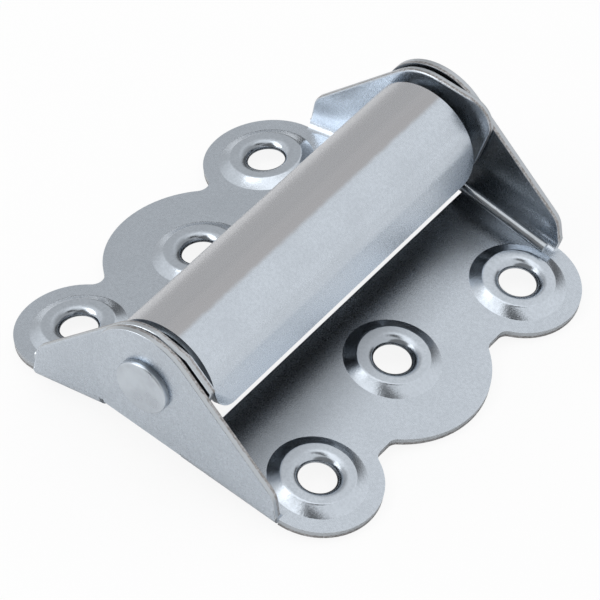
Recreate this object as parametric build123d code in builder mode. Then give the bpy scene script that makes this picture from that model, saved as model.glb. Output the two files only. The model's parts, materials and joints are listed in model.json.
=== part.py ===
"""Spring hinge for a screen door: two pressed steel leaves, a riveted pin and a torsion spring.

The pin lies along Y. The front leaf reaches towards +X and the back leaf towards -X.
The hinge stands on the outer edges of its leaves, on Z = 0, with the barrel uppermost.
"""
import os
from math import acos, atan2, cos, degrees, hypot, isclose, radians, sin, tan

from build123d import *

# Overall sizes, in millimetres and degrees
hinge_length = 69.85          # over the outer ears
sheet = 1.2                   # thickness of both leaves
leaf_slope = 8.2              # fall of each leaf when the spring is at rest
pin_drop = 9.9                # from the pin's axis down to a leaf's top face
bend_inside = 1.3             # inside radius where an ear folds up from its leaf
ear_gap = 0.35                # play between an outer ear and the inner ear beside it

# Screw holes and the lobes round them, measured out from the pin along a leaf
outer_hole_reach = 23.8
middle_hole_reach = 18.9
front_hole_spacing = 48.6
back_hole_spacing = 44.4
outer_lobe_radius = 9.5
middle_lobe_radius = 14.4
notch_reach = 27.5            # floor of the scallop between two lobes
notch_round = 1.7

# Raised boss round each hole, on the middle of the sheet
boss_radius = 7.1
boss_top_radius = 5.1
boss_height = 0.95
boss_crest_round = 1.2
boss_foot_round = 0.5
boss_flange = 0.5             # flat ring outside the boss
hole_radius = 2.8
hole_lip = 0.55               # rounding where the hole's mouth turns in

# Ears
outer_head_radius = 9.25
inner_head_radius = 8.95
ear_fall = 35.3               # slope of an ear's long edge against its leaf
outer_foot_reach = 24.2
inner_foot_reach = 22.9
ear_foot_lean = 17.0
ear_corner_round = 3.5
outer_ear_tail = 6.1          # how far an outer ear runs on behind the pin
outer_rim_round = 0.12        # tumbled edges
inner_rim_round = 0.3
inner_nose_radius = 4.0       # an inner ear's head runs forward of the pin into a rounded nose
inner_nose_reach = 6.95
inner_nose_rise = 3.35

# Edges of the leaves next to the barrel
front_edge_reach = 7.6

# Barrel cover, rolled from the back leaf
cover_radius = 8.8            # outside of the roll
cover_sink = 0.95             # the roll's centre lies this far below the pin
cover_root = 1.0              # radius in the corner where the cover leaves the leaf
cover_lip_length = 4.5
cover_lip_flare = 4.5
cover_corner = 3.4
cover_slot = 1.6              # between the cover's end and the inner ear
slot_overrun = 1.0            # how far the slot runs into the leaf past the cover

# Rivet pin
pin_radius = 2.2
pin_seat = 0.02               # play in the outer ears, which the pin is riveted into
pin_play = 0.08               # play in the inner ears, which turn on it
pin_head_radius = 4.3
pin_head_height = 1.0
pin_head_round = 0.3

# Torsion spring
wire = 1.2
coil_radius = 5.6             # to the middle of the wire
coil_turns = 14
wire_sides = 6
leg_bend_reach = 8.2          # where a leg turns to run along its leaf
leg_reach = 23.2
leg_rise = 0.5                # a leg's tip stands this much further off the leaf
leg_bend_radius = 3.0
front_leg_lift = 0.08         # clear height under the leg on the front leaf
back_leg_lift = 0.32          # the back leg lies against the fold of the inner ear

# Sizes that follow from the ones above
half_length = hinge_length / 2
inner_half_length = half_length - sheet - ear_gap
cover_half_length = inner_half_length - sheet - cover_slot
back_edge_reach = cover_radius + cover_root
leaf_reach = max(outer_hole_reach + outer_lobe_radius, middle_hole_reach + middle_lobe_radius)
pin_height = leaf_reach * sin(radians(leaf_slope)) + (pin_drop + sheet) * cos(radians(leaf_slope))
coil_half_length = cover_half_length + cover_slot / 2


def leaf_frame(side):
    """Plane through the pin: X out along the leaf, Z square to it. side is 1 in front, -1 behind."""
    slope = radians(leaf_slope)
    return Plane(origin=(0, 0, pin_height), x_dir=(side * cos(slope), 0, -sin(slope)),
                 z_dir=(side * sin(slope), 0, cos(slope)))


def end_view(frame):
    """The same leaf seen along the pin: X out along the leaf, Y square to it."""
    return Plane(origin=frame.origin, x_dir=frame.x_dir, z_dir=-frame.y_dir)


def cross_view(frame, reach):
    """Cross-section of a leaf at a distance from the pin: X along the pin, Y square to the leaf."""
    return Plane(origin=frame.origin + frame.x_dir * reach, x_dir=frame.y_dir, z_dir=frame.x_dir)


def hole_points(spacing):
    """Places of a leaf's three screw holes."""
    return [(outer_hole_reach, -spacing / 2), (middle_hole_reach, 0), (outer_hole_reach, spacing / 2)]


def leaf_plan(frame, spacing, half_width, edge, foot_reach):
    """Plan of a leaf, from its barrel edge out to the three lobes."""
    fold = half_width - sheet - bend_inside
    with BuildSketch(frame.offset(-pin_drop)) as plan:
        with Locations((edge, 0)):
            Rectangle(foot_reach - edge, 2 * fold, align=(Align.MIN, Align.CENTER))
            Rectangle(notch_reach - edge, spacing, align=(Align.MIN, Align.CENTER))
        with Locations(hole_points(spacing)[0], hole_points(spacing)[2]):
            Circle(outer_lobe_radius)
        with Locations(hole_points(spacing)[1]):
            Circle(middle_lobe_radius)
        notches = plan.vertices().filter_by_position(Axis.X, notch_reach - 0.01, notch_reach + 0.01)
        fillet(notches, notch_round)
        with Locations((edge, 0)):
            Rectangle(edge, spacing, align=(Align.MAX, Align.CENTER), mode=Mode.SUBTRACT)
        for end, align in ((-1, Align.MAX), (1, Align.MIN)):
            with Locations((edge, end * fold)):
                Rectangle(foot_reach - edge, half_width, align=(Align.MIN, align), mode=Mode.SUBTRACT)
    return plan.sketch


def ear_folds(frame, half_width, fold_start):
    """Cross-section of the two folds between a leaf and its ears."""
    fold = half_width - sheet - bend_inside
    with BuildSketch(cross_view(frame, fold_start)) as folds:
        with BuildLine():
            JernArc((fold, -pin_drop - sheet / 2), (1, 0), bend_inside + sheet / 2, 90)
        trace(line_width=sheet)
        mirror(about=Plane.YZ)
    return folds.sketch


def nose_outline(head):
    """Tangent points that join an ear's head to the nose ahead of the pin."""
    centre = (-inner_nose_reach, inner_nose_rise)
    bearing = atan2(centre[1], centre[0])
    spread = acos((head - inner_nose_radius) / hypot(*centre))
    over, under = bearing - spread, bearing + spread
    return [(head * cos(over), head * sin(over)),
            (centre[0] + inner_nose_radius * cos(over), centre[1] + inner_nose_radius * sin(over)),
            (centre[0] + inner_nose_radius * cos(under), centre[1] + inner_nose_radius * sin(under)),
            (head * cos(under), head * sin(under))]


def flat_ear(frame, head, foot_reach, fold_start, tail, rim_round, nose=False):
    """The flat part of an ear: a round head about the pin, a long slope and a foot at the fold.

    tail is how far the ear runs on behind the pin, rim_round rounds its outline on both faces,
    and nose carries the head forward of the pin.
    """
    rise = radians(90 - ear_fall)
    touch = (head * cos(rise), head * sin(rise))
    foot = bend_inside - pin_drop
    fall, lean = tan(radians(ear_fall)), tan(radians(ear_foot_lean))
    corner_height = ((touch[1] + fall * touch[0] - fall * (foot_reach + lean * foot)) / (1 - fall * lean))
    corner = (foot_reach - lean * (corner_height - foot), corner_height)
    with BuildSketch(end_view(frame)) as outline:
        Circle(head)
        Polygon((0, 0), touch, corner, (foot_reach, foot), (fold_start, foot), (fold_start, -head),
                (0, -head), align=None)
        fillet(outline.vertices().sort_by_distance(corner)[0], ear_corner_round)
        if tail:
            turn = 2 * atan2(-head, -tail) - radians(-90)
            back_touch = (head * cos(turn), head * sin(turn))
            Polygon((0, 0), (0, -head), (-tail, -head), back_touch, align=None)
        if nose:
            with Locations((-inner_nose_reach, inner_nose_rise)):
                Circle(inner_nose_radius)
            Polygon((0, 0), *nose_outline(head), align=None)
    with BuildPart() as ear:
        extrude(outline.sketch, amount=sheet / 2, both=True)
        heads = ear.edges().filter_by(GeomType.CIRCLE)
        fillet(heads.filter_by(lambda edge: isclose(edge.radius, head)), rim_round)
    return ear.part


def boss_section(frame, place):
    """Half-section of a raised screw boss, pressed up from the sheet."""
    top = boss_height - sheet / 2
    centre = frame.offset(-pin_drop).from_local_coords(Vector(*place))
    with BuildSketch(Plane(origin=centre, x_dir=frame.x_dir, z_dir=-frame.y_dir)) as section:
        with BuildLine():
            FilletPolyline((hole_radius, top), (boss_top_radius, top), (boss_radius, -sheet / 2),
                           (boss_radius + boss_flange, -sheet / 2), radius=(boss_crest_round, boss_foot_round))
        trace(line_width=sheet)
        fillet(section.vertices().group_by(Axis.X)[0].sort_by(Axis.Y)[-1], hole_lip)
    return section.sketch, Axis(centre, frame.z_dir)


def cover_section(frame):
    """End view of the barrel cover: up from the leaf, over the spring and down to a free lip."""
    with BuildSketch(end_view(frame)) as section:
        with BuildLine():
            root = JernArc((back_edge_reach, -pin_drop - sheet / 2), (-1, 0), cover_root + sheet / 2, -90)
            wall = Line(root @ 1, (cover_radius - sheet / 2, -cover_sink))
            roll = JernArc(wall @ 1, (0, 1), cover_radius - sheet / 2, 180 - cover_lip_flare)
            lip = PolarLine(roll @ 1, cover_lip_length, direction=roll % 1)
        trace(line_width=sheet)
    return section.sketch, end_view(frame).from_local_coords(lip @ 1)


def pin_bore(frame, radius):
    """Bore for the pin, as a disc in the end view."""
    with BuildSketch(end_view(frame)) as bore:
        Circle(radius)
    return bore.sketch


def leg_route(frame, end, lift):
    """Centre line of a spring leg: straight off the coil, then along the leaf."""
    ground = -pin_drop + wire / 2 + lift
    bend = (leg_bend_reach, ground)
    turn = atan2(bend[1], bend[0]) - acos(coil_radius / hypot(*bend))
    start = (coil_radius * cos(turn), coil_radius * sin(turn))
    view = Plane(origin=frame.origin + Vector(0, end * coil_half_length, 0), x_dir=frame.x_dir,
                 z_dir=-frame.y_dir)
    with BuildLine(view) as route:
        FilletPolyline(start, bend, (leg_reach, ground + leg_rise), radius=leg_bend_radius)
    return route.wires()[0], route.wires()[0] @ 0 - view.origin


front_frame = leaf_frame(1)
back_frame = leaf_frame(-1)

# Front leaf, with the outer ears
front_fold_start = front_edge_reach
outer_ear = flat_ear(front_frame, outer_head_radius, outer_foot_reach, front_fold_start,
                     outer_ear_tail, outer_rim_round)
with BuildPart() as front_leaf:
    with Locations((0, half_length - sheet / 2, 0), (0, sheet / 2 - half_length, 0)):
        add(outer_ear)
    extrude(ear_folds(front_frame, half_length, front_fold_start),
            amount=outer_foot_reach - front_fold_start)
    extrude(leaf_plan(front_frame, front_hole_spacing, half_length, front_edge_reach, outer_foot_reach),
            amount=-sheet)
    with Locations(front_frame.offset(-pin_drop)):
        with Locations(*hole_points(front_hole_spacing)):
            Cylinder(boss_radius + boss_flange, 2 * sheet + 2 * boss_height, mode=Mode.SUBTRACT)
    for place in hole_points(front_hole_spacing):
        section, axis = boss_section(front_frame, place)
        revolve(section, axis)
    extrude(pin_bore(front_frame, pin_radius + pin_seat), amount=hinge_length, both=True, mode=Mode.SUBTRACT)
front_leaf.part.label = "front_leaf"

# Back leaf, with the inner ears and the rolled cover
back_fold_start = back_edge_reach + slot_overrun
lip_section, lip_end = cover_section(back_frame)
inner_ear = flat_ear(back_frame, inner_head_radius, inner_foot_reach, back_fold_start, 0,
                     inner_rim_round, nose=True)
with BuildPart() as back_leaf:
    with Locations((0, inner_half_length - sheet / 2, 0), (0, sheet / 2 - inner_half_length, 0)):
        add(inner_ear)
    extrude(ear_folds(back_frame, inner_half_length, back_fold_start),
            amount=inner_foot_reach - back_fold_start)
    extrude(leaf_plan(back_frame, back_hole_spacing, inner_half_length, back_edge_reach, inner_foot_reach),
            amount=-sheet)
    with Locations(back_frame.offset(-pin_drop)):
        with Locations(*hole_points(back_hole_spacing)):
            Cylinder(boss_radius + boss_flange, 2 * sheet + 2 * boss_height, mode=Mode.SUBTRACT)
        for end in (-1, 1):
            with Locations((back_fold_start, end * (cover_half_length + cover_slot / 2))):
                Box(2 * back_edge_reach, cover_slot, 4 * sheet, mode=Mode.SUBTRACT,
                    align=(Align.MAX, Align.CENTER, Align.CENTER))
    extrude(lip_section, amount=cover_half_length, both=True)
    lip_corners = [back_leaf.edges().sort_by_distance(lip_end + Vector(0, end * cover_half_length, 0))[0]
                   for end in (-1, 1)]
    fillet(lip_corners, cover_corner)
    for place in hole_points(back_hole_spacing):
        section, axis = boss_section(back_frame, place)
        revolve(section, axis)
    extrude(pin_bore(back_frame, pin_radius + pin_play), amount=hinge_length, both=True, mode=Mode.SUBTRACT)
back_leaf.part.label = "back_leaf"

# Rivet pin through all four ears, with a flat head at each end
with BuildPart() as hinge_pin:
    with BuildSketch(Plane(origin=(0, 0, pin_height), x_dir=(1, 0, 0), z_dir=(0, 0, 1))) as profile:
        Rectangle(pin_radius, hinge_length, align=(Align.MIN, Align.CENTER))
        for end in (-1, 1):
            with Locations((0, end * (half_length + pin_head_height / 2))):
                Rectangle(pin_head_radius, pin_head_height, align=(Align.MIN, Align.CENTER))
        rims = [profile.vertices().sort_by_distance((pin_head_radius, end * (half_length + pin_head_height)))[0]
                for end in (-1, 1)]
        fillet(rims, pin_head_round)
    revolve(axis=Axis((0, 0, pin_height), (0, 1, 0)))
hinge_pin.part.label = "hinge_pin"

# Torsion spring round the pin: the near leg lies on the back leaf, the far leg on the front leaf
near_route, near_start = leg_route(back_frame, -1, back_leg_lift)
far_route, far_start = leg_route(front_frame, 1, front_leg_lift)
near_angle, far_angle = degrees(atan2(near_start.Z, near_start.X)), degrees(atan2(far_start.Z, far_start.X))
turned = 360 * (coil_turns - 1) + (far_angle - near_angle) % 360
coil_end = Plane(origin=(0, -coil_half_length, pin_height), x_dir=near_start, z_dir=(0, 1, 0))
coil_route = coil_end * Helix(pitch=2 * coil_half_length * 360 / turned, height=2 * coil_half_length,
                              radius=coil_radius, lefthand=True)
with BuildPart() as torsion_spring:
    with BuildSketch(Plane(coil_route @ 0, x_dir=near_start, z_dir=coil_route % 0)):
        RegularPolygon(wire / 2, wire_sides)
    sweep(path=coil_route, is_frenet=True)
    for route in (near_route, far_route):
        with BuildSketch(Plane(route @ 0, z_dir=route % 0)):
            Circle(wire / 2)
        sweep(path=route)
torsion_spring.part.label = "torsion_spring"

os.makedirs("parts", exist_ok=True)
export_step(front_leaf.part, "parts/front_leaf.step")
export_step(back_leaf.part, "parts/back_leaf.step")
export_step(hinge_pin.part, "parts/hinge_pin.step")
export_step(torsion_spring.part, "parts/torsion_spring.step")
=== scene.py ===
# %% [markdown]
# # Self-closing screen door hinge
# Two pressed steel leaves turn on one riveted pin, and a torsion spring under the rolled cover
# swings the door shut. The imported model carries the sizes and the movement. This file dresses it:
# zinc plating, sheared edges, drawn screw bosses, the close-wound spring, and the studio around it.

# %% Load the measured model
import json
import math

import bmesh
import bpy
from mathutils import Matrix, Vector
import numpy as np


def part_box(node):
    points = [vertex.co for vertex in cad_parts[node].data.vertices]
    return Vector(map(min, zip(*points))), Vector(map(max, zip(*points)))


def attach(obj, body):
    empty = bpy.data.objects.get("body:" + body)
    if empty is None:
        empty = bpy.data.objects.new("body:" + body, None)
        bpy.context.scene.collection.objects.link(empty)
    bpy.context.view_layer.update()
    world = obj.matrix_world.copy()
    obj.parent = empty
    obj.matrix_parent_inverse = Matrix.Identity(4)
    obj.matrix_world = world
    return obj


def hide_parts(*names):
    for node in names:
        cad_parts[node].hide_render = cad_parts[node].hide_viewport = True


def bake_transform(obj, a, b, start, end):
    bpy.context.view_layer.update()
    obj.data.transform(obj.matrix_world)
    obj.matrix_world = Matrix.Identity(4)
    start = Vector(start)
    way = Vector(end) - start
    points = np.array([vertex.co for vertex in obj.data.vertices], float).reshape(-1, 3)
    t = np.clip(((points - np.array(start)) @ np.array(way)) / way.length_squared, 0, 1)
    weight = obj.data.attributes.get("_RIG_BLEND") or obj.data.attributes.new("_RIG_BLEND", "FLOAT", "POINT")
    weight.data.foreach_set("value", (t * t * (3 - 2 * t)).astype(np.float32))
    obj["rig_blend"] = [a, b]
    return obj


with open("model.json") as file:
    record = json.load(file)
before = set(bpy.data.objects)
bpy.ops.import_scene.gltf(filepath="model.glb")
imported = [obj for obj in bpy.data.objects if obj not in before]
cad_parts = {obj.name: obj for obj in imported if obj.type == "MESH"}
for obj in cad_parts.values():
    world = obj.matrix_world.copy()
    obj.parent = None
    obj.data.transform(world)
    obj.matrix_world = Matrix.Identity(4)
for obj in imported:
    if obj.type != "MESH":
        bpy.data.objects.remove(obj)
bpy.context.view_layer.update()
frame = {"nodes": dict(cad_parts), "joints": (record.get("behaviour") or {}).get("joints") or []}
mm = 0.001

# %% [markdown]
# The hinge stands as a low tent on the outer edges of its leaves. Three places are read from the
# model, so that everything below follows it: the pin's height and the faces of both pairs of ears.
# The slope of the leaves, the sheet and the drop from the pin to a leaf repeat the model's values.

# %% Places
pin_height = frame["joints"][0]["pos_m"][2]
pin = Vector((0, 0, pin_height))
half_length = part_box("front_leaf")[1].y
inner_half_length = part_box("back_leaf")[1].y
leaf_slope = math.radians(8.2)
sheet = 1.2 * mm
pin_drop = 9.9 * mm
print("pin height", pin_height, "ears at", half_length, inner_half_length)


def leaf_direction(side, reach, rise):
    """A direction given along a leaf and square to it. The front leaf's side is 1, the back's -1."""
    return Vector((side * (reach * math.cos(leaf_slope) + rise * math.sin(leaf_slope)), 0,
                   rise * math.cos(leaf_slope) - reach * math.sin(leaf_slope)))


def leaf_point(side, reach, height, y):
    """A point over a leaf, from its reach and its height above the top face."""
    return pin + leaf_direction(side, reach, height - pin_drop) + Vector((0, y, 0))


def leaf_place(point, side):
    """(reach along the leaf, height above its top face) of a point."""
    from_pin = point - pin
    return (from_pin.dot(leaf_direction(side, 1, 0)),
            from_pin.dot(leaf_direction(side, 0, 1)) + pin_drop)


print("front leaf ends at", tuple(leaf_point(1, 31 * mm, 0, 0)))


# %% [markdown]
# The camera looks down at 45 degrees from the front right, through a long lens from about 60 cm, as
# for a catalogue picture. A long lens keeps the far ear nearly as large as the near one.

# %% Camera
def turned_camera(azimuth, elevation, roll, distance, target, lens):
    """A camera that looks at target from the given bearing, turned about its own line of sight."""
    a, e, r = (math.radians(v) for v in (azimuth, elevation, roll))
    back = Vector((math.sin(a) * math.cos(e), -math.cos(a) * math.cos(e), math.sin(e)))
    level = Vector((math.cos(a), math.sin(a), 0))
    upright = back.cross(level)
    right = math.cos(r) * level + math.sin(r) * upright
    up = math.cos(r) * upright - math.sin(r) * level
    data = bpy.data.cameras.new("studio_camera")
    data.lens, data.sensor_width = lens, 36
    camera = bpy.data.objects.new("studio_camera", data)
    bpy.context.collection.objects.link(camera)
    turn = Matrix((right, up, back)).transposed().to_4x4()
    camera.matrix_world = Matrix.Translation(target + back * distance) @ turn
    return camera


look_at = pin + Vector((4.03, -4.57, -5.20)) * mm
bpy.context.scene.camera = turned_camera(35.6, 45.5, 1.84, 0.61, look_at, 258)
print("camera at", tuple(bpy.context.scene.camera.matrix_world.translation))


# %% [markdown]
# Shader nodes are wordy to write one by one. `Term` wraps a socket, so that a sum of sockets reads
# as a sum, and `Nodes.node` makes any node from its type, its settings and what goes into it.

# %% Shader maths
class Term:
    """A shader socket that takes part in arithmetic."""

    def __init__(self, nodes, socket):
        self.nodes, self.socket = nodes, socket

    def maths(self, operation, *values):
        return self.nodes.node("ShaderNodeMath", {"operation": operation}, dict(enumerate(values)))

    def __add__(self, other):
        return self.maths("ADD", self, other)

    def __radd__(self, other):
        return self.maths("ADD", other, self)

    def __sub__(self, other):
        return self.maths("SUBTRACT", self, other)

    def __rsub__(self, other):
        return self.maths("SUBTRACT", other, self)

    def __mul__(self, other):
        return self.maths("MULTIPLY", self, other)

    def __rmul__(self, other):
        return self.maths("MULTIPLY", other, self)

    def __abs__(self):
        return self.maths("ABSOLUTE", self)

    def larger(self, other):
        return self.maths("MAXIMUM", self, other)

    def below(self, limit):
        """1 where the value is below the limit, and 0 elsewhere."""
        return self.maths("LESS_THAN", self, limit)

    def between(self, start, end):
        """A smooth change from 0 at start to 1 at end. The start may be the larger number."""
        return self.nodes.node("ShaderNodeMapRange", {"interpolation_type": "SMOOTHSTEP"},
                               {"Value": self, "From Min": start, "From Max": end})


class Nodes:
    """Makes the nodes of one shader tree, which takes its places from one texture coordinate."""

    def __init__(self, tree, coordinate):
        self.tree = tree
        self.place = self.node("ShaderNodeTexCoord", output=coordinate)

    def put(self, value, socket):
        """Connects a term to a socket, or sets a plain value on it."""
        if isinstance(value, Term):
            self.tree.links.new(value.socket, socket)
        else:
            socket.default_value = value

    def node(self, kind, settings=None, inputs=None, output=0):
        made = self.tree.nodes.new(kind)
        for key, value in (settings or {}).items():
            setattr(made, key, value)
        for key, value in (inputs or {}).items():
            self.put(value, made.inputs[key])
        return Term(self, made.outputs[output])

    def axes(self):
        """The place's X, Y and Z."""
        return [self.node("ShaderNodeSeparateXYZ", {}, {"Vector": self.place}, output=i) for i in range(3)]

    def length(self, x, y):
        """How long the flat vector (x, y) is."""
        flat = self.node("ShaderNodeCombineXYZ", {}, {"X": x, "Y": y})
        return self.node("ShaderNodeVectorMath", {"operation": "LENGTH"}, {0: flat}, output="Value")

    def noise(self, size, detail=2.0, roughness=0.5):
        """Cloudy value from 0 to 1 whose patches are about size metres across."""
        return self.node("ShaderNodeTexNoise", {}, {"Vector": self.place, "Scale": 1 / size,
                                                    "Detail": detail, "Roughness": roughness})

    def mix(self, factor, first, second):
        """Colour that goes from first to second."""
        return self.node("ShaderNodeMix", {"data_type": "RGBA"}, {0: factor, 6: first, 7: second}, output=2)

    def attribute(self, name):
        return self.node("ShaderNodeAttribute", {"attribute_name": name}, output="Fac")

    def bump(self, height, depth, strength):
        return self.node("ShaderNodeBump", {}, {"Height": height, "Distance": depth, "Strength": strength})


class Finish(Nodes):
    """One material, whose places are the object's own."""

    def __init__(self, name):
        self.material = bpy.data.materials.new(name)
        self.material.use_nodes = True
        super().__init__(self.material.node_tree, "Object")
        self.surface = self.tree.nodes["Principled BSDF"]

    def wear(self, **sockets):
        """Connects or sets the finished surface's sockets."""
        for name, value in sockets.items():
            self.put(value, self.surface.inputs[name.replace("_", " ")])
        return self.material


def tinted(tone, *shares):
    """A tone with each of its three parts scaled. One share scales them all."""
    return tuple(c * k for c, k in zip(tone, shares * (3 // len(shares)))) + (1,)


print("shader maths ready, half of white is", tinted((1, 1, 1), 0.5))

# %% [markdown]
# The cover is rolled from the back leaf's own sheet. The photograph shows its crown as a browner strip with a
# soft border, its lip a little brighter, and its inside nearly black. The light below gives only part of it,
# and the rest is tint laid on these zones: the crown is tinted browner and darker on its back half, the lip's
# brightening is a painted reflection, and the inside's black is painted shade. Whether that is the plating or
# the room it mirrors can't be told, and the light below gives only part of it.

# %% Zones of the rolled cover
cover_axis = pin_height - 0.95 * mm
cover_end = 30.6 * mm
cover_outside, cover_wall = 9.3 * mm, 8.2 * mm
crown_start, crown_back, lip_end = (math.radians(a) for a in (73, 90, 20))
crown_border, crown_fade, lip_fade = 0.45 * mm, 1.6 * mm, 4 * mm
lip_start = (3 * mm, 6 * mm)


def roll_zones(f, along, across, up):
    """(crown, its back half, lip, inside), each from 0 to 1. The lip carries a painted reflection and the
    inside painted shade.
    """
    rise = up - cover_axis

    def past(angle):
        """How far a point lies behind the plane through the cover's axis at this angle."""
        return rise * math.cos(angle) - along * math.sin(angle)

    radius, between_ends = f.length(along, rise), across.below(cover_end)
    rolled = between_ends * radius.below(cover_outside)
    ragged = (f.noise(1.6 * mm, 3) - 0.5) * 0.5 * mm
    crown = (past(crown_start) + ragged).between(-crown_border, crown_border) * rolled
    lip = past(lip_end).between(lip_fade, -lip_fade) * along.between(*lip_start) * between_ends
    return crown, past(crown_back).between(-crown_fade, crown_fade), lip, rolled * radius.below(cover_wall)


print("cover axis at", cover_axis, "crown starts at", math.degrees(crown_start), "degrees")

# %% [markdown]
# Electroplated zinc is a satin blue-grey. Up close it has a fine crystalline grain, and faint cloudy patches
# where the bath ran uneven. Sheared edges show a burnished band and a torn, speckled band. Attributes of the
# mesh say where the sheet was cut, how far through it a point lies, where a die pressed it and how much
# painted shade a hole's mouth takes. In the photograph the front leaf is nearly black beside the barrel, and
# so are the outward sides of the mouths, most likely because they mirror something dark. Painted shade, a
# dark tint in the colour, stands in for that dark reflection, so it stays when the light changes.

# %% Zinc plating
zinc_tone = (0.56, 0.61, 0.67)
burnished = (0.50, 0.53, 0.56, 1)
torn_dark, torn_pale = (0.26, 0.25, 0.245, 1), (0.48, 0.48, 0.495, 1)
shade_from, shade_to = 9.5 * mm, 22 * mm
satin = 0.28


def cut_colour(f):
    """Colour of a sheared edge: burnished above, torn and speckled below."""
    through = f.attribute("through") + (f.noise(0.8 * mm, 2) - 0.5) * 0.25
    bitten = f.noise(0.35 * mm, 3, roughness=0.7).between(0.42, 0.62)
    return f.mix(through.between(0.38, 0.46), f.mix(bitten, torn_dark, torn_pale), burnished)


def barrel_shade(f, along, sideways, up, clouds):
    """Strength of the painted shade on the front leaf beside the barrel and on the inner faces of its ears.
    """
    reach = along * math.cos(leaf_slope) - (up - pin_height) * math.sin(leaf_slope)
    fading = (reach + sideways * 0.1).between(shade_from, shade_to)
    return (1 - fading) * abs(sideways).below(half_length - sheet / 2) * (0.75 + clouds * 0.3)


def zinc_plate(name, side):
    """Satin zinc on one leaf's pressed sheet, with painted shade, and on the cover a painted reflection on
    the lip.
    """
    f = Finish(name)
    along, sideways, up = f.axes()
    clouds, grain = f.noise(7 * mm, 3), f.noise(0.2 * mm, 3, roughness=0.7)
    mottle = f.noise(0.45 * mm, 3, roughness=0.7)
    plated = f.mix(mottle.between(0.35, 0.65), tinted(zinc_tone, 0.94), tinted(zinc_tone, 1.05))
    plated = f.mix(clouds.between(0.35, 0.75) * 0.35, plated, tinted(zinc_tone, 0.88))
    # painted shade: the holes' mouths, the front leaf beside the barrel and the roll's inside are darkened to
    # 0.3 of the tone
    dark = f.attribute("mouth") * 0.85
    if side > 0:
        dark = dark.larger(barrel_shade(f, along, sideways, up, clouds))
    else:
        crown, crown_rear, lip, inside = roll_zones(f, along, abs(sideways), up)
        # the crown is tinted browner, darker on its back half
        thin = f.mix(crown_rear, tinted(zinc_tone, 0.72, 0.66, 0.62), tinted(zinc_tone, 1.0, 0.93, 0.88))
        plated = f.mix(crown, plated, thin)
        # painted reflection: the cover's lip is made a quarter brighter
        plated = f.mix(lip * 0.9, plated, tinted(zinc_tone, 1.25))
        # painted shade: the inside of the roll
        dark = dark.larger(inside)
    plated = f.mix(dark, plated, tinted(zinc_tone, 0.3))
    cut = f.attribute("cut_edge")
    polish = f.attribute("pressed") * 0.12
    rough = satin + (grain - 0.5) * 0.2 + (clouds - 0.5) * 0.06 + cut * 0.08 - polish
    return f.wear(Base_Color=f.mix(cut, plated, cut_colour(f)), Metallic=1.0, Roughness=rough,
                  Normal=f.bump(grain + mottle, 0.012 * mm, 0.8))


front_zinc = zinc_plate("zinc_plate_front", 1)
back_zinc = zinc_plate("zinc_plate_back", -1)
print("plating nodes", len(front_zinc.node_tree.nodes), len(back_zinc.node_tree.nodes))


# %% [markdown]
# The rivet heads are cold formed, so they are cloudy with a few dull marks. The spring wire is
# drawn through a die and only thinly plated, which leaves it darker and shinier than the sheet.

# %% Rivet steel and spring wire
def rivet_steel(name):
    """Cold-formed plated rivet, cloudy with fine marks."""
    f = Finish(name)
    clouds, grain = f.noise(2.5 * mm, 4), f.noise(0.15 * mm, 2)
    colour = f.mix(clouds.between(0.3, 0.7), (0.52, 0.56, 0.61, 1), (0.62, 0.67, 0.72, 1))
    return f.wear(Base_Color=colour, Metallic=1.0, Roughness=0.30 + (clouds - 0.5) * 0.2,
                  Normal=f.bump(grain + clouds * 2.0, 0.01 * mm, 0.6))


def spring_wire(name):
    """Drawn wire with a thin plating."""
    f = Finish(name)
    drawn, clouds = f.noise(0.12 * mm, 3), f.noise(3 * mm, 2)
    colour = f.mix(clouds.between(0.35, 0.65), (0.42, 0.45, 0.48, 1), (0.52, 0.56, 0.60, 1))
    return f.wear(Base_Color=colour, Metallic=1.0, Roughness=0.22 + (drawn - 0.5) * 0.16,
                  Normal=f.bump(drawn, 0.008 * mm, 0.6))


pin_steel = rivet_steel("rivet_steel")
wire_steel = spring_wire("spring_wire")
print("made", pin_steel.name, "and", wire_steel.name)

# %% [markdown]
# Each pressed piece keeps the model's own shape. A shear leaves a bare edge, and the plating needs
# to know where. How deep a point lies in the sheet follows from where the piece was folded: the
# leaf is measured square to its face, and an ear along the pin.

# %% Sheared edges
ear_reach, cover_reach = 24.3 * mm, 10.9 * mm
fold_height = 0.6 * mm
ear_depth = sheet * 1.02


def sheared(centre, normal, side, ear_face):
    """1 where a face was cut across the sheet, 0 on the rolled faces."""
    reach, height = leaf_place(centre, side)
    tilt = abs(normal.dot(leaf_direction(side, 0, 1)))
    in_ear = abs(centre.y) > ear_face - ear_depth and reach < ear_reach
    if in_ear and height > fold_height:
        return 1.0 if abs(normal.y) < 0.5 else 0.0
    if side < 0 and reach < cover_reach and abs(centre.y) < ear_face - sheet * 1.5:
        return 1.0 if abs(normal.y) > 0.9 else 0.0
    return 1.0 if tilt < 0.3 and height < 0.05 * mm and not in_ear else 0.0


def mark_edges(shape, side, ear_face):
    """Writes the attributes that tell the plating where the sheet was cut."""
    layers = shape.loops.layers.float
    for name in ("cut_edge", "through", "mouth", "pressed"):
        layers.new(name)
    cut, depth = layers["cut_edge"], layers["through"]
    marked = 0
    for face in shape.faces:
        edge = sheared(face.calc_center_median(), face.normal, side, ear_face)
        marked += edge
        for corner in face.loops:
            at = corner.vert.co
            height = leaf_place(at, side)[1]
            in_ear = abs(at.y) > ear_face - ear_depth and height > fold_height
            corner[cut] = edge
            corner[depth] = ((abs(at.y) - ear_face) if in_ear else height) / sheet + 1
    print("sheared faces", int(marked), "of", len(shape.faces))
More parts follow.
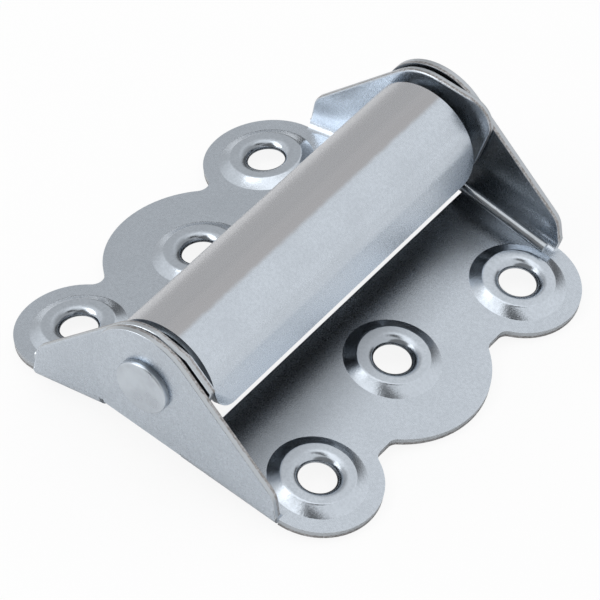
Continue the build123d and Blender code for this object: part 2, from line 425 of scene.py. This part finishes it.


# %% [markdown]
# A boss is drawn up by a round die and then pierced, and the punch drags the mouth of the hole down with it.
# The section below goes from the flat leaf over the crest and down into that mouth, and is turned about each
# hole. It takes the place of the plainer bosses of the measured model. Each mouth is given painted shade,
# darkest on its outward side, as the photograph shows it.

# %% Screw bosses
boss_foot, boss_rise, boss_slope = 7.1 * mm, 0.95 * mm, math.radians(28)
slope_width, boss_flange = 1.6 * mm, 0.5 * mm
mouth, mouth_depth, hole = 4.5 * mm, 1.1 * mm, 2.8 * mm
mouth_dark_from, mouth_dark_width = 4.1 * mm, 0.8 * mm
front_holes = ((23.8 * mm, -24.3 * mm), (18.9 * mm, 0), (23.8 * mm, 24.3 * mm))
back_holes = ((23.8 * mm, -22.2 * mm), (18.9 * mm, 0), (23.8 * mm, 22.2 * mm))


def boss_section():
    """(radius, height) pairs from the leaf's flat top face, over the crest, to the hole's lower rim."""
    section = [(boss_foot + boss_flange, -0.005 * mm), (boss_foot, 0)]
    crest_rise = boss_rise - slope_width * math.tan(boss_slope)
    bend = crest_rise / (1 - math.cos(boss_slope))
    for i in range(9):
        a = boss_slope * (1 - i / 8)
        section.append((boss_foot - slope_width - bend * (math.sin(boss_slope) - math.sin(a)),
                        boss_rise - bend * (1 - math.cos(a))))
    for i in range(11):
        a = math.radians(9 * i)
        section.append((mouth - (mouth - hole) * math.sin(a), boss_rise - mouth_depth * (1 - math.cos(a))))
    return section + [(hole, boss_rise - sheet)]


def mouth_painted_shade(radius, turn):
    """How much painted shade a point of a boss takes, from its distance to the hole's axis and its bearing.
    """
    deep = min(1.0, max(0.0, (mouth_dark_from - radius) / mouth_dark_width))
    return deep * (0.2 + 0.8 * max(0.0, math.cos(turn) * math.cos(leaf_slope)))


def boss_top(shape, side, reach, y):
    """The faces of the measured boss that the turned section replaces."""
    up, centre = leaf_direction(side, 0, 1), leaf_point(side, reach, 0, y)
    old = []
    for face in shape.faces:
        away = [v.co - centre for v in face.verts]
        widest = max((a - up * a.dot(up)).length for a in away)
        level = face.normal.dot(up)
        on_top = level > 0.02 or (level > -0.05 and widest < hole + 0.6 * mm)
        if on_top and widest < boss_foot + boss_flange + 0.05 * mm and abs(away[0].dot(up)) < 2 * mm:
            old.append(face)
    return old


def press_boss(shape, side, reach, y, around=96):
    """Swaps the top of the boss round one hole for the turned section."""
    old = boss_top(shape, side, reach, y)
    bmesh.ops.delete(shape, geom=old, context="FACES")
    turns = [2 * math.pi * i / around for i in range(around)]
    section = boss_section()
    rings = [[shape.verts.new(leaf_point(side, reach + r * math.cos(a), h, y + r * math.sin(a)))
              for a in turns] for r, h in section]
    dark, pressed = (shape.loops.layers.float[name] for name in ("mouth", "pressed"))
    for k in range(len(rings) - 1):
        for i in range(around):
            j = (i + 1) % around
            spots = ((k, i), (k, j), (k + 1, j), (k + 1, i))[::side]
            face = shape.faces.new([rings[ring][turn] for ring, turn in spots])
            for corner, (ring, turn) in zip(face.loops, spots):
                # painted shade in the mouth, darkest on its outward side
                corner[dark] = mouth_painted_shade(section[ring][0], turns[turn])
                corner[pressed] = 1.0
    return len(old)


print("boss section", [(round(r / mm, 2), round(h / mm, 2)) for r, h in boss_section()])


# %% [markdown]
# The inner ears end in a rounded nose ahead of the pin. In the photograph the near one stands out
# less than the far one, so here it is moved back until it is nearly level with the slanting edge of
# the outer ear beside it.

# %% Near nose
edge_bearing = math.radians(54.7)
edge_distance = 9.3 * mm


def flatten_nose(shape):
    """Moves the near nose back to the line of the outer ear's edge."""
    outward = leaf_direction(1, math.cos(edge_bearing), math.sin(edge_bearing))
    moved = 0
    for vert in shape.verts:
        past = (vert.co - pin).dot(outward) - edge_distance
        if past > 0 and vert.co.y < ear_depth - inner_half_length:
            vert.co -= past * outward
            moved += 1
    print("nose points moved", moved)


# %% [markdown]
# A rolled sheet has no facets, while the model's cover has some. Smooth shading hides most of
# them, and the cover's corners take the direction of the true cylinder, so that no streak is left.
# Flat faces count by their area, so that a rounded rim does not tint the whole ear.

# %% Smooth shading
def merged_copy(node):
    """An editable copy of a node's mesh with its corners joined."""
    shape = bmesh.new()
    shape.from_mesh(frame["nodes"][node].data)
    bmesh.ops.remove_doubles(shape, verts=shape.verts, dist=0.0005 * mm)
    bmesh.ops.recalc_face_normals(shape, faces=shape.faces)
    return shape


def round_roll(mesh):
    """Gives the rolled cover the shading of the true cylinder."""
    normals = [corner.vector.copy() for corner in mesh.corner_normals]
    turned = 0
    for face in mesh.polygons:
        for corner in face.loop_indices:
            point = mesh.vertices[mesh.loops[corner].vertex_index].co
            outward = Vector((point.x, 0, point.z - cover_axis))
            if abs(point.y) > cover_end + 0.2 * mm or not 7 * mm < outward.length < cover_outside:
                continue
            outward.normalize()
            facing = outward.dot(face.normal)
            if abs(facing) > 0.97:
                normals[corner] = outward if facing > 0 else -outward
                turned += 1
    mesh.normals_split_custom_set(normals)
    print("rolled corners", turned)


def smooth_piece(shape, node, body, material):
    """The piece that is seen in place of a node, smooth but for its crisp corners."""
    mesh = bpy.data.meshes.new(node + "_dressed")
    shape.to_mesh(mesh)
    shape.free()
    mesh.shade_smooth()
    mesh.set_sharp_from_angle(angle=math.radians(26))
    mesh.materials.append(material)
    made = bpy.data.objects.new(node + "_plated", mesh)
    bpy.context.collection.objects.link(made)
    evened = made.modifiers.new("evened", "WEIGHTED_NORMAL")
    evened.keep_sharp, evened.weight = True, 100
    plain = bpy.data.meshes.new_from_object(made.evaluated_get(bpy.context.evaluated_depsgraph_get()))
    made.modifiers.remove(evened)
    if node == "back_leaf":
        round_roll(plain)
    made.data = plain
    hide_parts(node)
    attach(made, body)
    print(made.name, "faces", len(plain.polygons))
    return made


# %% [markdown]
# The two leaves go through the same steps: mark the sheared edges, press the bosses, shade. The
# rivet only needs the shading. Its heads bear on the outer ears, so it is taken to turn with the
# front leaf.

# %% Pressed pieces and rivet
front_shape = merged_copy("front_leaf")
mark_edges(front_shape, 1, half_length)
print("boss faces swapped", [press_boss(front_shape, 1, *place) for place in front_holes])
front = smooth_piece(front_shape, "front_leaf", "front_leaf_body", front_zinc)

back_shape = merged_copy("back_leaf")
mark_edges(back_shape, -1, inner_half_length)
flatten_nose(back_shape)
print("boss faces swapped", [press_boss(back_shape, -1, *place) for place in back_holes])
back = smooth_piece(back_shape, "back_leaf", "back_leaf_body", back_zinc)

rivet = smooth_piece(merged_copy("hinge_pin"), "hinge_pin", "front_leaf_body", pin_steel)

# %% [markdown]
# Springs of this kind are close wound: the turns touch, so that a short barrel holds enough wire to
# shut a door. The cover hides the coil, so the number of turns only follows from the wire and the
# room. The leg that is seen runs straight to its tip, just clear of the leaf, and the other is made
# to match.

# %% Run of the wire
wire_radius = 0.85 * mm
coil_radius = 5.6 * mm
near_end, far_end = -31.3 * mm, 30.9 * mm
coil_length = far_end - near_end
leg_tip = (23.6 * mm, 1.85 * mm)


def leg_line(side, y):
    """The two ends of a leg, which runs straight from the coil to its tip over the leaf."""
    tip = leaf_point(side, *leg_tip, y)
    x, z = side * tip.x, tip.z - pin_height
    turn = math.atan2(z, x) - math.acos(coil_radius / math.hypot(x, z))
    start = Vector((side * coil_radius * math.cos(turn), y, pin_height + coil_radius * math.sin(turn)))
    return start, tip


def line_mesh(name, lines):
    """A mesh of straight lines, each between two points."""
    mesh = bpy.data.meshes.new(name)
    mesh.from_pydata([p for line in lines for p in line], [(2 * i, 2 * i + 1) for i in range(len(lines))], [])
    return mesh


near_leg, far_leg = leg_line(-1, near_end), leg_line(1, far_end)
near_angle, far_angle = (math.atan2(leg[0].z - pin_height, leg[0].x) for leg in (near_leg, far_leg))
full_turn = 2 * math.pi
turns = int(coil_length / (2 * wire_radius)) - 1 + ((far_angle - near_angle) % full_turn) / full_turn
print("turns", turns, "legs", near_leg, far_leg)

# %% [markdown]
# A helix is a rule, so Geometry Nodes draw it. The legs come in as the object's own two lines, a
# round profile is swept along all three, and the result is made a plain mesh.

# %% Winding rule
wire_inputs = {"Turns": "NodeSocketFloat", "Coil radius": "NodeSocketFloat", "Length": "NodeSocketFloat",
               "Wire radius": "NodeSocketFloat", "Start": "NodeSocketVector", "Turn": "NodeSocketVector",
               "Finish": "NodeSocketMaterial"}


def wire_tree():
    """Geometry Nodes that wind the coil, add the legs and sweep round wire along them."""
    tree = bpy.data.node_groups.new("wound_spring", "GeometryNodeTree")
    tree.interface.new_socket("Geometry", in_out="OUTPUT", socket_type="NodeSocketGeometry")
    tree.interface.new_socket("Legs", in_out="INPUT", socket_type="NodeSocketGeometry")
    for name, kind in wire_inputs.items():
        tree.interface.new_socket(name, in_out="INPUT", socket_type=kind)

    def add(kind, inputs):
        """A node whose inputs are connected or set, and its first output."""
        made = tree.nodes.new(kind)
        for name, value in inputs.items():
            if isinstance(value, bpy.types.NodeSocket):
                tree.links.new(value, made.inputs[name])
            else:
                made.inputs[name].default_value = value
        return made.outputs[0] if made.outputs else None

    given = tree.nodes.new("NodeGroupInput").outputs
    spiral = add("GeometryNodeCurveSpiral", {
        "Resolution": 36, "Rotations": given["Turns"], "Start Radius": given["Coil radius"],
        "End Radius": given["Coil radius"], "Height": given["Length"]})
    placed = add("GeometryNodeTransform", {
        "Geometry": spiral, "Translation": given["Start"], "Rotation": given["Turn"]})
    legs = add("GeometryNodeMeshToCurve", {"Mesh": given["Legs"]})
    joined = tree.nodes.new("GeometryNodeJoinGeometry")
    for part in (placed, legs):
        tree.links.new(part, joined.inputs[0])
    ring = add("GeometryNodeCurvePrimitiveCircle", {"Resolution": 12, "Radius": given["Wire radius"]})
    swept = add("GeometryNodeCurveToMesh", {
        "Curve": joined.outputs[0], "Profile Curve": ring, "Fill Caps": True})
    real = add("GeometryNodeRealizeInstances", {"Geometry": swept})
    coated = add("GeometryNodeSetMaterial", {"Geometry": real, "Material": given["Finish"]})
    add("NodeGroupOutput", {"Geometry": coated})
    return tree


winding_rule = wire_tree()
print("winding rule with", len(winding_rule.nodes), "nodes")

# %% [markdown]
# One end of the wire rides on each leaf. When the front leaf turns, the coil between them winds up
# evenly along the pin, so the piece is blended from the back leaf's movement to the front leaf's.

# %% Wound spring
winding = bpy.data.objects.new("winding", line_mesh("winding", (near_leg, far_leg)))
bpy.context.collection.objects.link(winding)
modifier = winding.modifiers.new("winding", "NODES")
modifier.node_group = winding_rule
wire_sizes = {"Turns": turns, "Coil radius": coil_radius, "Length": coil_length,
              "Wire radius": wire_radius, "Start": (0, near_end, pin_height),
              "Turn": (-math.pi / 2, 0, 0), "Finish": wire_steel}
for item in winding_rule.interface.items_tree:
    if item.in_out == "INPUT" and item.name in wire_sizes:
        modifier[item.identifier] = wire_sizes[item.name]
wound = bpy.data.meshes.new_from_object(winding.evaluated_get(bpy.context.evaluated_depsgraph_get()))
bpy.data.objects.remove(winding)
wound.shade_smooth()
wound.set_sharp_from_angle(angle=math.radians(50))
spring = bpy.data.objects.new("wound_spring", wound)
bpy.context.collection.objects.link(spring)
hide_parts("torsion_spring")
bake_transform(spring, "back_leaf_body", "front_leaf_body", start=(0, near_end, pin_height),
         end=(0, far_end, pin_height))
print("spring faces", len(wound.polygons))


# %% [markdown]
# The hinge lies on a plain white table. The camera sees the table nearly white, with a trace of
# the hinge's shadow. The metal mirrors it as an ordinary matt table, which lies in shade under
# the barrel, so the leaves stay dark there.

# %% Table
def white_table(name, shade_kept):
    """A matt white that the camera sees nearly white, with shade_kept of its shadows."""
    f = Finish(name)
    seen = f.node("ShaderNodeLightPath", output="Is Camera Ray") * (1 - shade_kept)
    glow = f.node("ShaderNodeEmission", {}, {"Color": (1, 1, 1, 1), "Strength": 1.0}, output="Emission")
    both = f.node("ShaderNodeMixShader", {}, {"Fac": seen, 1: Term(f, f.surface.outputs[0]), 2: glow})
    f.put(both, f.tree.nodes["Material Output"].inputs["Surface"])
    return f.wear(Base_Color=(0.9, 0.9, 0.9, 1), Roughness=0.9)


bpy.ops.mesh.primitive_plane_add(size=4, location=(0, 0, -0.1 * mm))
floor = bpy.context.object
floor.name = "studio_floor"
floor.data.materials.append(white_table("studio_white", 0.1))
print("table", tuple(floor.dimensions))

# %% [markdown]
# Catalogue pictures of metal are taken in a light tent. The metal shows the tent's walls, so each
# wall is a soft-edged panel, placed by what the photograph's metal seems to mirror: a bright right,
# a quieter corner in the cover's top, dark gaps in front and behind, and bright panels above with a
# dark opening beside them in the slopes of the bosses. The camera itself sees plain white.

# %% Light tent
tent_wall = 0.92
tent_panels = {
    # name: brightness, and where the panel starts and is full along X, Y and Z
    "bright_right": (1.0, (0.0, 0.3), None, None),
    "quiet_corner": (0.62, (-0.28, -0.5), (0.0, 0.35), None),
    "dark_front": (0.28, (-0.42, -0.25), (-0.3, -0.5), None),
    "dark_back": (0.15, None, (0.65, 0.85), (0.45, 0.2)),
    "bright_top": (1.5, None, None, (0.88, 0.97)),
    "bright_left_top": (2.6, (-0.2, -0.35), (-0.05, -0.2), (0.75, 0.85)),
    "dark_top": (0.1, (0.04, 0.16), (0.32, 0.12), (0.9, 0.95)),
}


def light_tent(panels):
    """A world of soft-edged panels, each laid over those before it."""
    world = bpy.data.worlds.new("light_tent")
    bpy.context.scene.world = world
    world.use_nodes = True
    n = Nodes(world.node_tree, "Generated")
    axes = n.axes()
    strength = tent_wall
    for brightness, *edges in panels:
        share = 1.0
        for axis, edge in zip(axes, edges):
            if edge:
                share = axis.between(*edge) * share
        strength = strength + share * (brightness - strength)
    strength = strength.larger(n.node("ShaderNodeLightPath", output="Is Camera Ray"))
    background = n.tree.nodes["Background"]
    n.put((1, 1, 1, 1), background.inputs["Color"])
    n.put(strength, background.inputs["Strength"])
    return world


tent = light_tent(tent_panels.values())
print("light tent of", len(tent_panels), "panels")


# %% [markdown]
# One square soft box stands at the front left. It lights the near ear and the table, and its size
# keeps the shadow's edge soft.

# %% Lamp
def soft_lamp(name, place, size, power):
    """A square soft box aimed at the hinge."""
    data = bpy.data.lights.new(name, "AREA")
    data.size, data.energy = size, power
    lamp = bpy.data.objects.new(name, data)
    lamp.location = place
    lamp.rotation_euler = (look_at - Vector(place)).to_track_quat("-Z", "Y").to_euler()
    bpy.context.collection.objects.link(lamp)
    return lamp


key = soft_lamp("key_soft_box", (-0.36, -0.34, 0.36), 0.35, 0.85)
bpy.context.scene.view_settings.view_transform = "Standard"
print("lamp at", tuple(key.location))
